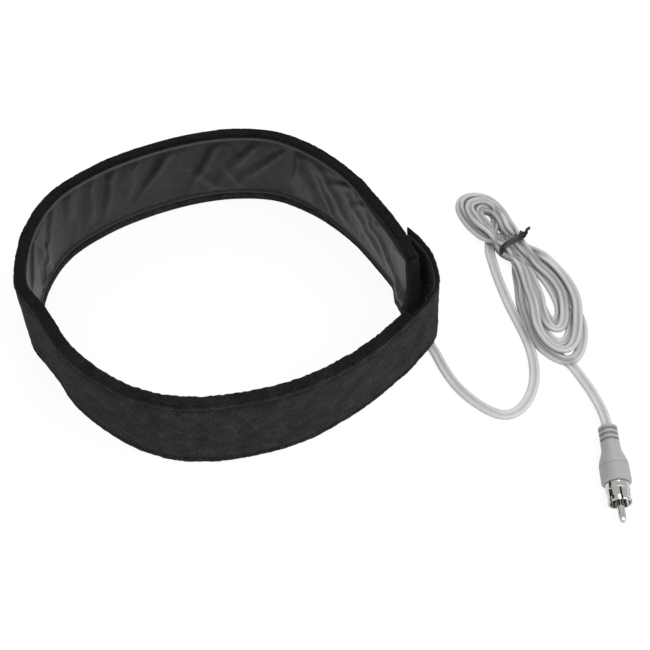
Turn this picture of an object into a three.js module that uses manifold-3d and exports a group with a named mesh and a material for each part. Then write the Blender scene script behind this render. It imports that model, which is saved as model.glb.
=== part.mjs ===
// Dew heater strip for a telescope tube, closed into a loop on its hook tab, with its power cord.
// Millimetres, +Z up. The origin is the centre of the strip's bounds, on the surface it stands on.

import * as THREE from 'three';
import { mergeVertices } from 'three/addons/utils/BufferGeometryUtils.js';
import Module from 'manifold-3d';

const wasm = await Module();
wasm.setup();

// The strip: its width stands upright
const stripWidth = 46;
const loopWidth = 184.4;
const loopDepth = 151;

// How far the foot stands out past the top edge: a mean, then cosine and sine waves round the loop,
// and more at the right, where the ends lap
const flareMean = 0.38;
const flareWaves = [[0.07, 1.31], [0.58, 0.68], [0.16, 0.76], [0.31, 0.40]];
const flareRight = 2;
const flareRightSpread = 0.25;

// Layers, counted inward from the loop-pile face
const skinThickness = 1.0;
const foamThickness = 1.3;
const wireDiameter = 0.7;
const liningThickness = 0.4;
const hemThickness = 0.7;
const hemDepth = 5.2;
const topHemDepth = 1.7;
const layerGap = 0.3;
const edgeRound = 0.4;
const seamGroove = 0.35;
const seamGrooveWidth = 1.4;
const seamInset = 3.6;

// Puckers of the lining where it is gathered into the top hem
const puckerHeight = 1.5;
const puckerPitch = 27;
const puckerSlant = 0.9;
const puckerClear = 0.5;
const puckerFade = 15;
const puckerWander = 6;
const puckerWanderRun = 41;
const puckerCross = 0.45;
const puckerCrossRate = 1.7;
const puckerLean = 0.8;

// Hook tab that closes the loop
const tabOverlap = 16.5;
const linedSetback = 14;
const tabLift = 3.1;
const tabLiftRun = 12;
const tabCornerStandoff = 6.2;
const tabMiddleStandoff = 5.2;
const hookTapeThickness = 1.2;
const hookTapeMargin = 1.5;
const hookTapeFoot = 5;
const hookTapeTop = 3;

// Heating wire: one hairpin, with both ends at the lined end
const wireLowRun = 13;
const wireHighRun = 33;
const wireEndMargin = 8;
const wireDropRun = 7;

// Splices between the wire and the cord's two conductors
const tailDiameter = 1.3;
const crimpDiameter = 1.3;
const crimpLength = 8;
const sleeveWall = 0.25;
const sleeveLength = 14;
const spliceSetback = 22;
const foamSetback = 41;
const tailFirstRun = 1.5;
const tailFirstRise = 0.5;
const tailClimbRun = 4.5;
const tailSpliceRun = 4;

// Cord: flat two-conductor lead
const cordWidth = 4.7;
const cordThickness = 2.3;
const cordInside = 7;
const mouthBulge = 2.9;
const mouthRun = 20;
const mouthRise = 16;
const mouthRunFade = 11;
const mouthRiseFade = 9;

// Hank and its tie
const hankHeight = 10;
const hankBevel = 1.6;
const tieWall = 0.8;
const tieBand = 3;
const tieBundleWidth = 11.2;
const tieCornerShare = 0.7;
const tieCentre = [130.4, 38.8];
const tieTurn = 0.46;
const tieEarLength = 5.5;
const tieEarThickness = 1.1;
const tieEarWidth = 1.7;
const tieEarBends = [1.6, -1.2];

// Plug
const plugStart = [163.7, -61.6];
const plugYaw = 0.022;
const plugAxisHeight = 6.45;
const reliefDiameter = 8.2;
const reliefLength = 9.8;
const reliefGrooves = 3;
const reliefGrooveDepth = 1.5;
const reliefGrooveWidth = 1.1;
const reliefPlainEnd = 1.2;
const reliefFirstRib = 0.62;
const reliefRound = 0.8;
const reliefEdge = 0.3;
const taperLength = 9.6;
const barrelDiameter = 12.6;
const barrelLength = 8;
const barrelChamfer = 0.9;
const ringLineDepth = 0.5;
const ringLineWidth = 0.9;
const shellDiameter = 10.2;
const shellWall = 0.8;
const shellLength = 9;
const shellCollar = 2.4;
const shellWaist = 0.35;
const shellWaistRun = 0.4;
const shellLipRun = 2;
const shellLip = 0.6;
const shellRound = 0.2;
const petals = 6;
const petalSlot = 0.9;
const petalRoot = 0.6;
const insulatorThickness = 2.6;
const insulatorChamfer = 0.4;
const pinDiameter = 3.2;
const pinReach = 8.6;
const pinTip = 1.3;

const touch = 0.3;
const floorClearance = 0.05;

// Loop outline of the outer face, as shares of half the loop's width and depth,
// counter-clockwise from the lined end, round the far side, the left and the near side
const loopOutline = [
  [0.9216, 0.0224], [0.849, 0.2269], [0.7652, 0.3996], [0.6486, 0.6112], [0.5243, 0.7664],
  [0.3805, 0.895], [0.2174, 0.9861], [0.0107, 1.0062], [-0.2071, 0.9651], [-0.4474, 0.8606],
  [-0.6751, 0.7073], [-0.8727, 0.4875], [-0.9655, 0.2286], [-0.984, -0.0052], [-0.960, -0.205],
  [-0.840, -0.4035], [-0.6995, -0.6488], [-0.4924, -0.8562], [-0.2941, -0.9644], [-0.098, -0.9953],
  [0.1421, -0.959], [0.3851, -0.8608], [0.639, -0.6693], [0.8292, -0.4543], [0.958, -0.274],
];
const cornerOutline = [[0.996, -0.185], [1.005, -0.086]];

// Cord routes: from beside the strip to the hank, and from the hank to the plug
const leadRoute = [
  [86.9, -9.3, 1.6],
  [89.9, -14.3, 1.25], [92.5, -19.3, 1.25], [96.0, -28.4, 1.25], [101.8, -38.4, 1.25],
  [109.4, -46.4, 1.25], [116.6, -51.2, 1.25],
  [121.6, -53.0, 1.25], [126.9, -50.6, 1.25], [132.0, -44.6, 1.25], [135.4, -36.0, 1.25],
  [136.3, -26.0, 1.25], [135.1, -15.9, 1.25], [132.5, -6.8, 1.25], [129.6, 1.3, 1.25],
  [126.8, 10.0, 1.3], [124.2, 20.2, 1.6], [122.3, 30.0, 2.2], [121.6, 37.2, 2.8],
];
const plugRoute = [
  [153.0, -26.4, 3.0], [155.2, -29.9, 2.4], [157.8, -35.2, 2.0], [160.8, -42.4, 2.2],
  [162.8, -50.2, 3.6], [163.6, -56.6, 5.7], [163.7, -61.3, 6.45],
];
const hankOutline = [
  [125.2, 37.6], [117.4, 44.6], [109.6, 55.6], [105.8, 64.4], [108.4, 71.4], [115.0, 74.2],
  [122.4, 73.2], [128.8, 69.0], [131.8, 60.2], [134.2, 51.0], [136.0, 42.0], [143.2, 38.2],
  [153.4, 32.0], [161.2, 23.4], [164.2, 10.0], [163.2, -7.0], [158.6, -19.0], [151.0, -26.2],
  [144.2, -21.6], [138.6, -12.6], [135.4, 2.0], [133.6, 16.0], [130.4, 28.0],
];

// Depths of the layers, which follow from their thicknesses
const foamDepth = skinThickness + layerGap;
const wireDepth = foamDepth + foamThickness + layerGap + wireDiameter / 2;
const liningDepth = wireDepth + wireDiameter / 2 + layerGap;
const hemInnerDepth = liningDepth + liningThickness + layerGap;
const stripThickness = hemInnerDepth + hemThickness;
const hookTapeDepth = skinThickness + layerGap;
const tabThickness = hookTapeDepth + hookTapeThickness;
const spliceDepth = (skinThickness + liningDepth) / 2;

// The strip's route in plan

const flat = (points) =>
  points.map(([x, y]) => new THREE.Vector3(x * loopWidth / 2, y * loopDepth / 2, 0));
const spline = (points) => {
  const curve = new THREE.CatmullRomCurve3(points, false, 'centripetal');
  curve.arcLengthDivisions = 2400;
  return curve;
};
const innerPart = spline(flat(loopOutline));
const innerLength = innerPart.getLength();

function seatPoint(back, standoff) {
  const at = innerPart.getPointAt(back / innerLength);
  const along = innerPart.getTangentAt(back / innerLength);
  return new THREE.Vector3(at.x + along.y * standoff, at.y - along.x * standoff, 0);
}

const tabSeat = tabThickness + touch;
const stripRoute = spline([
  ...flat(loopOutline),
  ...flat(cornerOutline),
  seatPoint(0.03 * tabOverlap, tabCornerStandoff),
  seatPoint(0.48 * tabOverlap, tabMiddleStandoff),
  seatPoint(tabOverlap, tabSeat),
]);
const stripLength = stripRoute.getLength();
const linedLength = innerLength - linedSetback;

function flareAt(at) {
  const angle = Math.atan2(at.y / loopDepth, at.x / loopWidth);
  const wave = ([cosine, sine], k) => {
    const turn = (k + 1) * angle;
    return cosine * Math.cos(turn) + sine * Math.sin(turn);
  };
  const round = flareWaves.map(wave).reduce((sum, value) => sum + value, flareMean);
  return round + flareRight * Math.exp(-((angle / flareRightSpread) ** 2));
}

// A point of the strip: distance from the lined end, depth below the outer face, height
function stripPoint(s, depth, height) {
  const u = Math.min(1, Math.max(0, s / stripLength));
  const at = stripRoute.getPointAt(u);
  const along = stripRoute.getTangentAt(u);
  const inward = depth - flareAt(at) * (0.5 - height / stripWidth);
  return new THREE.Vector3(at.x - along.y * inward, at.y + along.x * inward, height);
}

const smooth = (x) => {
  const t = Math.min(1, Math.max(0, x));
  return t * t * (3 - 2 * t);
};

// The inner layers open out round the cord at the foot of the lined end
const mouthAt = (s, height) =>
  mouthBulge * smooth((mouthRun - s) / mouthRunFade) * smooth((mouthRise - height) / mouthRiseFade);

const gridStep = 6;
function stations(from, to, step = gridStep) {
  const inner = [];
  for (let s = Math.ceil(from / step) * step; s < to; s += step) inner.push(s);
  const least = step / 5;
  const kept = inner.filter((s) => s - from > least && to - s > least);
  return [from, ...kept, to];
}

// Solids from rings, lathes, extrusions and cuts

function loft(rings, firstSection, lastSection) {
  const size = rings[0].length;
  const positions = rings.flat().flatMap((p) => [p.x, p.y, p.z]);
  const index = [];
  for (let i = 0; i + 1 < rings.length; i += 1) {
    for (let j = 0; j < size; j += 1) {
      const k = (j + 1) % size;
      const [a, b, c, d] = [i * size + j, i * size + k, (i + 1) * size + k, (i + 1) * size + j];
      index.push(a, b, c, a, c, d);
    }
  }
  const cap = (section) =>
    THREE.ShapeUtils.triangulateShape(section.map(([x, y]) => new THREE.Vector2(x, y)), []);
  const last = (rings.length - 1) * size;
  for (const [a, b, c] of cap(firstSection)) index.push(c, b, a);
  for (const [a, b, c] of cap(lastSection)) index.push(last + a, last + b, last + c);
  const geometry = new THREE.BufferGeometry();
  geometry.setAttribute('position', new THREE.Float32BufferAttribute(positions, 3));
  geometry.setIndex(index);
  return geometry;
}

function sweepStrip(places, sectionAt) {
  const rings = places.map((s) => sectionAt(s).map(([depth, height]) => stripPoint(s, depth, height)));
  return loft(rings, sectionAt(places[0]), sectionAt(places[places.length - 1]));
}

function solid(geometry) {
  const bare = geometry.clone();
  bare.deleteAttribute('normal');
  bare.deleteAttribute('uv');
  const merged = mergeVertices(bare, 1e-4);
  const triVerts = merged.index ? new Uint32Array(merged.index.array) : null;
  const vertProperties = new Float32Array(merged.attributes.position.array);
  return new wasm.Manifold(new wasm.Mesh({ numProp: 3, vertProperties, triVerts }));
}

function geometryOf(manifold) {
  const mesh = manifold.getMesh();
  const geometry = new THREE.BufferGeometry();
  geometry.setAttribute('position', new THREE.Float32BufferAttribute(mesh.vertProperties, 3));
  geometry.setIndex(Array.from(mesh.triVerts));
  return geometry;
}

function lathe(profile, segments) {
  const points = profile.map(([r, z]) => new THREE.Vector2(r, z));
  return new THREE.LatheGeometry(points, segments).rotateX(Math.PI / 2);
}

function ovalShape(thickness, width, sides) {
  const points = [];
  for (let i = 0; i < sides; i += 1) {
    const angle = (2 * Math.PI * (i + 0.5)) / sides;
    points.push(new THREE.Vector2(thickness / 2 * Math.cos(angle), width / 2 * Math.sin(angle)));
  }
  return new THREE.Shape(points);
}

const roundShape = (diameter, sides) => ovalShape(diameter, diameter, sides);

function tube(points, shape, steps) {
  const path = new THREE.CatmullRomCurve3(points, false, 'centripetal');
  return new THREE.ExtrudeGeometry(shape, { steps, extrudePath: path, bevelEnabled: false });
}

// The strip's own pieces

function coverSection(s) {
  const open = mouthAt(s, 0);
  const [inner, hemFace] = [stripThickness, hemInnerDepth];
  const w = stripWidth;
  const half = seamGrooveWidth / 2;
  return [
    [edgeRound, 0], [inner + open - edgeRound, 0], [inner + open, edgeRound], [inner + open, hemDepth],
    [hemFace + open, hemDepth], [hemFace + open, skinThickness], [skinThickness, skinThickness],
    [skinThickness, w - skinThickness], [hemFace, w - skinThickness], [hemFace, w - topHemDepth],
    [inner, w - topHemDepth], [inner, w - edgeRound], [inner - edgeRound, w],
    [edgeRound, w], [0, w - edgeRound], [0, w - seamInset + half], [seamGroove, w - seamInset],
    [0, w - seamInset - half], [0, seamInset + half], [seamGroove, seamInset], [0, seamInset - half],
    [0, edgeRound],
  ];
}

function tabSection(s) {
  const foot = tabLift * smooth((s - linedLength) / tabLiftRun);
  return [[0, foot], [skinThickness, foot], [skinThickness, stripWidth], [0, stripWidth]];
}

function endSection(s) {
  const [inner, w] = [stripThickness, stripWidth];
  const rows = [edgeRound, hemDepth, mouthRise - hemDepth, mouthRise];
  const face = rows.map((height) => [inner + mouthAt(s, height), height]);
  return [
    [edgeRound, 0], [inner + mouthAt(s, 0) - edgeRound, 0], ...face, [inner, w - edgeRound],
    [inner - edgeRound, w], [edgeRound, w], [0, w - edgeRound], [0, edgeRound],
  ];
}

function cordMouth() {
  const [width, height] = [cordWidth + 4 * touch, cordThickness + 4 * touch];
  const half = cordWidth / 2 + skinThickness + 2 * touch;
  const foot = skinThickness + touch / 2;
  const section = [
    [half - width / 2, foot], [half + width / 2, foot],
    [half + width / 2, foot + height], [half - width / 2, foot + height],
  ];
  const rings = [-1, 3].map((s) => section.map(([depth, height]) => {
    const at = stripPoint(0, depth, height);
    const along = stripRoute.getTangentAt(0);
    return at.addScaledVector(along, s * skinThickness);
  }));
  return loft(rings, section, section);
}

function outerCover() {
  const body = solid(sweepStrip(stations(0, linedLength), coverSection));
  const tabRoot = linedLength - skinThickness;
  const tab = solid(sweepStrip(stations(tabRoot, stripLength, gridStep / 2), tabSection));
  const linedEnd = solid(sweepStrip([0, skinThickness], endSection)).subtract(solid(cordMouth()));
  const tabEnd = solid(sweepStrip([tabRoot, linedLength], endSection));
  return geometryOf(body.add(linedEnd).add(tabEnd).add(tab));
}

// Height of the lining's puckers: slanting folds that die out at both hems
function pucker(s, height) {
  const low = hemDepth + puckerClear;
  const rise = (height - low) / (stripWidth - topHemDepth - puckerClear - low);
  if (rise <= 0 || rise >= 1) return 0;
  const along = (s + puckerSlant * height + puckerWander * Math.sin(s / puckerWanderRun)) / puckerPitch;
  const main = Math.abs(Math.cos(Math.PI * along)) ** 3;
  const cross = puckerCross * Math.cos(2 * Math.PI * along * puckerCrossRate) ** 2;
  const ends = smooth(s / puckerFade) * smooth((linedLength - s) / puckerFade);
  const swell = puckerHeight * ends * Math.sin(Math.PI * rise ** puckerLean);
  return swell * (main + cross) / (1 + puckerCross);
}

const liningRows = [0, 0.12, 0.3, 0.5, 0.7, 0.88, 1];

function liningSection(s) {
  const foot = skinThickness + layerGap;
  const span = stripWidth - 2 * foot;
  const face = (depth) => liningRows.map((row) => {
    const height = foot + row * span;
    return [depth + mouthAt(s, height) + pucker(s, height), height];
  });
  const inner = face(liningDepth + liningThickness);
  return [...inner, ...face(liningDepth).reverse()];
}

const endClear = skinThickness + layerGap;
const liningStep = 2 * gridStep / 3;
const lining = () =>
  sweepStrip(stations(endClear, linedLength - endClear, liningStep), liningSection);

function insulation() {
  const foot = skinThickness + layerGap;
  const section = [
    [foamDepth, foot], [foamDepth + foamThickness, foot],
    [foamDepth + foamThickness, stripWidth - foot], [foamDepth, stripWidth - foot],
  ];
  return sweepStrip(stations(foamSetback, linedLength - endClear), () => section);
}

// Depth of the wire, which drops to the splices' depth before the foam starts
function wireDepthAt(s) {
  const before = smooth((foamSetback - skinThickness - s) / wireDropRun);
  return wireDepth + (spliceDepth - wireDepth) * before;
}

function heatingWire() {
  const nearEnd = spliceSetback + crimpLength + touch;
  const turnRadius = (wireHighRun - wireLowRun) / 2;
  const farEnd = linedLength - endClear - wireEndMargin - turnRadius;
  const run = stations(nearEnd, farEnd);
  const at = (s, height) => stripPoint(s, wireDepthAt(s), height);
  const turn = [];
  const turnSteps = 8;
  for (let k = 1; k < turnSteps; k += 1) {
    const angle = (Math.PI * k) / turnSteps;
    const middle = (wireHighRun + wireLowRun) / 2;
    turn.push(at(farEnd + turnRadius * Math.sin(angle), middle - turnRadius * Math.cos(angle)));
  }
  const points = [
    ...run.map((s) => at(s, wireLowRun)),
    ...turn,
    ...run.slice().reverse().map((s) => at(s, wireHighRun)),
  ];
  return tube(points, roundShape(wireDiameter, 5), points.length - 1);
}

function hookTape() {
  const section = [
    [hookTapeDepth, hookTapeFoot], [tabThickness, hookTapeFoot],
    [tabThickness, stripWidth - hookTapeTop], [hookTapeDepth, stripWidth - hookTapeTop],
  ];
  const from = linedLength + hookTapeMargin;
  return sweepStrip(stations(from, stripLength - hookTapeMargin, gridStep / 2), () => section);
}

// Splice pieces lie along the strip: a crimp, the sleeve over it and the conductor's tail

function alongStrip(from, to, height, shape) {
  return tube([stripPoint(from, spliceDepth, height), stripPoint(to, spliceDepth, height)], shape, 1);
}

const crimp = (height) => alongStrip(
  spliceSetback, spliceSetback + crimpLength, height, roundShape(crimpDiameter, 12));

function sleeve(height) {
  const bore = Math.max(crimpDiameter, tailDiameter) + 2 * touch;
  const middle = spliceSetback + crimpLength / 2;
  const [from, to] = [middle - sleeveLength / 2, middle + sleeveLength / 2];
  const reach = 2 * touch;
  const outer = solid(alongStrip(from, to, height, roundShape(bore + 2 * sleeveWall, 12)));
  const inner = solid(alongStrip(from - reach, to + reach, height, roundShape(bore, 12)));
  return geometryOf(outer.subtract(inner));
}

const cordHeight = skinThickness + touch + cordThickness / 2;
const cordDepth = skinThickness + 2 * touch + cordWidth / 2;

function tail(height, side) {
  const start = cordInside + touch;
  const end = spliceSetback - touch;
  const depth = cordDepth + side * (tailDiameter / 2 + touch / 2);
  const points = [
    stripPoint(start, depth, cordHeight),
    stripPoint(start + tailFirstRun, depth, cordHeight + tailFirstRise),
    stripPoint(start + tailClimbRun, (depth + spliceDepth) / 2, (cordHeight + height) / 2),
    stripPoint(end - tailSpliceRun, spliceDepth, height),
    stripPoint(end, spliceDepth, height),
  ];
  return tube(points, roundShape(tailDiameter, 8), 14);
}

// The cord, its hank and the tie

const vectors = (points) => points.map(([x, y, z]) => new THREE.Vector3(x, y, z));
const cordTube = (points, steps) => tube(points, ovalShape(cordThickness, cordWidth, 8), steps);

function cordLead() {
  const inside = [cordInside, cordInside / 2, 0].map((s) => stripPoint(s, cordDepth, cordHeight));
  const straightOn = inside[2].clone().addScaledVector(stripRoute.getTangentAt(0), -cordWidth);
  return cordTube([...inside, straightOn, ...vectors(leadRoute)], 54);
}

function tieRing(grow, depth) {
  const halfWidth = tieBundleWidth / 2 + grow;
  const low = floorClearance + tieWall + touch - grow;
  const high = hankHeight + grow;
  const round = Math.min(halfWidth, (high - low) / 2) * tieCornerShare;
  const shape = new THREE.Shape();
  shape.moveTo(halfWidth, low + round);
  shape.lineTo(halfWidth, high - round);
  shape.absarc(halfWidth - round, high - round, round, 0, Math.PI / 2);
  shape.lineTo(-halfWidth + round, high);
  shape.absarc(-halfWidth + round, high - round, round, Math.PI / 2, Math.PI);
  shape.lineTo(-halfWidth, low + round);
  shape.absarc(-halfWidth + round, low + round, round, Math.PI, 1.5 * Math.PI);
  shape.lineTo(halfWidth - round, low);
  shape.absarc(halfWidth - round, low + round, round, 1.5 * Math.PI, 2 * Math.PI);
  const geometry = new THREE.ExtrudeGeometry(shape, { depth, bevelEnabled: false, curveSegments: 4 });
  return solid(geometry.translate(0, 0, -depth / 2).rotateX(Math.PI / 2).rotateZ(tieTurn)
    .translate(tieCentre[0], tieCentre[1], 0));
}

function cordHank() {
  const corners = hankOutline.map(([x, y]) => new THREE.Vector3(x, y, 0));
  const outline = new THREE.CatmullRomCurve3(corners, true).getPoints(66).slice(0, -1);
  const shape = new THREE.Shape(outline.map((p) => new THREE.Vector2(p.x, p.y)));
  const bevelSize = 0.8 * hankBevel;
  const body = new THREE.ExtrudeGeometry(shape, {
    depth: hankHeight - 2 * hankBevel - floorClearance,
    bevelSize,
    bevelOffset: -bevelSize,
    bevelThickness: hankBevel,
    bevelSegments: 2,
  });
  const slab = solid(body.translate(0, 0, floorClearance + hankBevel));
  const reach = 1.25 * tieBundleWidth;
  const groove = tieRing(reach, tieBand + 6 * touch).subtract(tieRing(0, tieBand + 8 * touch));
  return geometryOf(slab.subtract(groove));
}

function twistTie() {
  const inner = touch;
  const band = tieRing(inner + tieWall, tieBand).subtract(tieRing(inner, 2 * tieBand));
  const root = tieBundleWidth / 2 + inner + tieWall / 2;
  const ear = (bend) => {
    const path = new THREE.CatmullRomCurve3([
      new THREE.Vector3(root, 0, hankHeight * 0.62),
      new THREE.Vector3(root + 0.35 * tieEarLength, 0.25 * bend, hankHeight * 0.7),
      new THREE.Vector3(root + tieEarLength, bend, hankHeight * 0.62),
    ]);
    const shape = ovalShape(tieEarThickness, tieEarWidth, 6);
    const run = { steps: 6, extrudePath: path, bevelEnabled: false };
    const geometry = new THREE.ExtrudeGeometry(shape, run);
    return solid(geometry.rotateZ(tieTurn).translate(tieCentre[0], tieCentre[1], 0));
  };
  return geometryOf(tieEarBends.reduce((tie, bend) => tie.add(ear(bend)), band));
}

// The plug, built along its own axis from the cord end

const barrelStart = reliefLength + taperLength;
const barrelEnd = barrelStart + barrelLength;
const shellEnd = barrelEnd + shellLength;
const shellBore = shellDiameter - 2 * shellWall;

function plugBody() {
  const [relief, barrel] = [reliefDiameter / 2, barrelDiameter / 2];
  const rib = (reliefLength - reliefPlainEnd) / (reliefGrooves + 0.5);
  const profile = [[0, 0], [relief - reliefRound, 0], [relief - reliefEdge, reliefEdge]];
  for (let k = 0; k < reliefGrooves; k += 1) {
    const start = (k + reliefFirstRib) * rib;
    const end = start + reliefGrooveWidth;
    const floor = relief - reliefGrooveDepth;
    profile.push([relief, start], [floor, start], [floor, end], [relief, end]);
  }
  profile.push([relief, reliefLength]);
  const taperSteps = 5;
  for (let k = 1; k < taperSteps; k += 1) {
    const share = k / taperSteps;
    profile.push([relief + (barrel - relief) * smooth(share), reliefLength + taperLength * share]);
  }
  const lineStart = barrelStart - 2 * ringLineWidth / 3;
  profile.push([barrel, lineStart]);
  profile.push([barrel - ringLineDepth, barrelStart - ringLineWidth / 4]);
  profile.push([barrel, lineStart + ringLineWidth]);
  profile.push([barrel, barrelEnd - barrelChamfer], [barrel - barrelChamfer, barrelEnd], [0, barrelEnd]);
  return lathe(profile, 24);
}

function plugShell() {
  const outer = shellDiameter / 2;
  const bore = shellBore / 2;
  const foot = barrelEnd + touch;
  const body = solid(lathe([
    [bore, foot], [outer, foot], [outer, foot + shellCollar],
    [outer - 0.7 * shellWaist, foot + shellCollar + shellWaistRun],
    [outer - shellWaist, shellEnd - shellLipRun], [outer, shellEnd - shellLip],
    [outer - shellRound, shellEnd], [bore, shellEnd], [bore, foot],
  ], 24));
  let shell = body;
  for (let k = 0; k < petals / 2; k += 1) {
    const slot = new THREE.BoxGeometry(2 * shellDiameter, petalSlot, shellLength);
    slot.translate(0, 0, foot + shellCollar + petalRoot + shellLength / 2);
    slot.rotateZ((2 * Math.PI * (k + 0.5)) / petals);
    shell = shell.subtract(solid(slot));
  }
  return geometryOf(shell);
}

function plugInsulator() {
  const outer = shellBore / 2 - touch;
  const bore = pinDiameter / 2 + touch;
  const foot = barrelEnd + touch;
  const top = foot + insulatorThickness;
  return lathe([
    [bore, foot], [outer, foot], [outer, top - insulatorChamfer], [outer - insulatorChamfer, top],
    [bore, top], [bore, foot],
  ], 24);
}

function centrePin() {
  const radius = pinDiameter / 2;
  const end = shellEnd + pinReach;
  const foot = barrelEnd + touch;
  return lathe([
    [0, foot], [radius, foot], [radius, end - 2.4 * pinTip], [radius * 0.93, end - 1.5 * pinTip],
    [radius * 0.7, end - 0.5 * pinTip], [radius * 0.35, end - 0.1 * pinTip], [0, end],
  ], 18);
}

// The assembly

const finish = (color, roughness, metalness = 0) =>
  new THREE.MeshStandardMaterial({ color, roughness, metalness });
const looks = {
  pile: () => finish(0x1c1c1d, 0.96),
  nylon: () => finish(0x2c2c2e, 0.55),
  foam: () => finish(0x3a3a3c, 0.9),
  wire: () => finish(0x8a8780, 0.35, 1),
  hook: () => finish(0x161617, 0.7),
  sleeve: () => finish(0x131313, 0.45),
  cord: () => finish(0xb8b8b4, 0.42),
  tie: () => finish(0x101011, 0.4),
  grip: () => finish(0xa9a9a6, 0.45),
  nickel: () => finish(0xc9c7c1, 0.22, 1),
  dielectric: () => finish(0x2a2a2c, 0.5),
};

const part = new THREE.Group();
const laid = new THREE.Group();

function place(parent, name, geometry, look) {
  const mesh = new THREE.Mesh(geometry, look());
  mesh.name = name;
  parent.add(mesh);
}

place(laid, 'outer_cover', outerCover(), looks.pile);
place(laid, 'lining', lining(), looks.nylon);
place(laid, 'insulation', insulation(), looks.foam);
place(laid, 'heating_wire', heatingWire(), looks.wire);
place(laid, 'hook_tape', hookTape(), looks.hook);
for (const [name, height, side] of [['lower', wireLowRun, -1], ['upper', wireHighRun, 1]]) {
  place(laid, `crimp_${name}`, crimp(height), looks.nickel);
  place(laid, `sleeve_${name}`, sleeve(height), looks.sleeve);
  place(laid, `conductor_${name}`, tail(height, side), looks.cord);
}
place(laid, 'cord_lead', cordLead(), looks.cord);
place(laid, 'cord_hank', cordHank(), looks.cord);
place(laid, 'cord_plug_end', cordTube(vectors(plugRoute), 12), looks.cord);
place(laid, 'twist_tie', twistTie(), looks.tie);

const plug = new THREE.Group();
plug.position.set(plugStart[0], plugStart[1], plugAxisHeight);
plug.rotation.set(Math.PI / 2, 0, plugYaw, 'ZYX');
place(plug, 'plug_body', plugBody(), looks.grip);
place(plug, 'plug_shell', plugShell(), looks.nickel);
place(plug, 'plug_insulator', plugInsulator(), looks.dielectric);
place(plug, 'centre_pin', centrePin(), looks.nickel);
laid.add(plug);

const bounds = new THREE.Box3().setFromObject(laid.getObjectByName('outer_cover'));
laid.position.set(-(bounds.min.x + bounds.max.x) / 2, -(bounds.min.y + bounds.max.y) / 2, 0);
part.add(laid);

export default part;
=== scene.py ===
"""Looks of a dew heater strip: a cloth loop on its edge, with its flat cord, hank and plug, in metres."""
import math

import bmesh
import bpy
import numpy as np
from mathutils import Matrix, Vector


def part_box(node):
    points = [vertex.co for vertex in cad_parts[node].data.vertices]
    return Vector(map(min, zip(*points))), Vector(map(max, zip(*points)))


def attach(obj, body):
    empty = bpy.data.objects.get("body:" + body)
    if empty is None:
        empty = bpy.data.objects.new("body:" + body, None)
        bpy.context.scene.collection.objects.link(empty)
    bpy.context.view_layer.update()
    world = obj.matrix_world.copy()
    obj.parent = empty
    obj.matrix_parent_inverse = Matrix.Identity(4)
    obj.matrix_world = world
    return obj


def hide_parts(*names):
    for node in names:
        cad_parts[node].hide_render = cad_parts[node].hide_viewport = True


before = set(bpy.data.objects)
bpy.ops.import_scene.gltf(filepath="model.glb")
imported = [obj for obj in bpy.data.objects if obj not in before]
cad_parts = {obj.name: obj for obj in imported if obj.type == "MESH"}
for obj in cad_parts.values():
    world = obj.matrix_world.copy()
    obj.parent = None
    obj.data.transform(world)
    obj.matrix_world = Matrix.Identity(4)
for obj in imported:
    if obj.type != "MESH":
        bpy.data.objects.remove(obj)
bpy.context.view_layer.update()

WHOLE = "root"
UP = np.array([0, 0, 1.0])

# The strip, as the frame holds it
STRIP_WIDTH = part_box("outer_cover")[1][2]
LOOP_WIDTH = 0.1844
LOOP_DEPTH = 0.151
THICKNESS = 0.0053
CLOTH = 0.001
HEM_FACE = 0.0046
TOP_HEM = 0.0017
FOOT_HEM = 0.0052
SEAM_INSET = 0.0036
LINING_DEPTH = 0.0039
LINING_THICKNESS = 0.0003
LINED_SHORT = 0.014
CUT_BACK = 0.0013

# From the places typed here to the centred frame
SHIFT = np.array([-0.0012903, -0.0004833, 0.0])

# How far the foot stands out past the top: mean, waves round the loop, and a swell on the right
FLARE_MEAN = 0.00038
FLARE_WAVES = ((0.00007, 0.00131), (0.00058, 0.00068), (0.00016, 0.00076), (0.00031, 0.0004))
FLARE_RIGHT = 0.002
FLARE_RIGHT_SPREAD = 0.25

# The tab over the lined end
TAB_SEAT = 0.0028
TAB_OVERLAP = 0.0165
TAB_STANDOFFS = ((0.03, 0.0062), (0.48, 0.0052), (1.0, TAB_SEAT))
TAB_LIFT = 0.0031
TAB_LIFT_RUN = 0.012

# The swelling of the lined end round the cord
MOUTH_BULGE = 0.0029
MOUTH_RUN = 0.02
MOUTH_RUN_FADE = 0.011
MOUTH_RISE = 0.016
MOUTH_RISE_FADE = 0.009

# Plan of the outer face, as shares of half the loop's width and depth
OUTLINE = (
    (0.9216, 0.0224), (0.849, 0.2269), (0.7652, 0.3996), (0.6486, 0.6112), (0.5243, 0.7664),
    (0.3805, 0.895), (0.2174, 0.9861), (0.0107, 1.0062), (-0.2071, 0.9651), (-0.4474, 0.8606),
    (-0.6751, 0.7073), (-0.8727, 0.4875), (-0.9655, 0.2286), (-0.984, -0.0052), (-0.96, -0.205),
    (-0.84, -0.4035), (-0.6995, -0.6488), (-0.4924, -0.8562), (-0.2941, -0.9644), (-0.098, -0.9953),
    (0.1421, -0.959), (0.3851, -0.8608), (0.639, -0.6693), (0.8292, -0.4543), (0.958, -0.274),
)
CORNER = ((0.996, -0.185), (1.005, -0.086))

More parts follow.
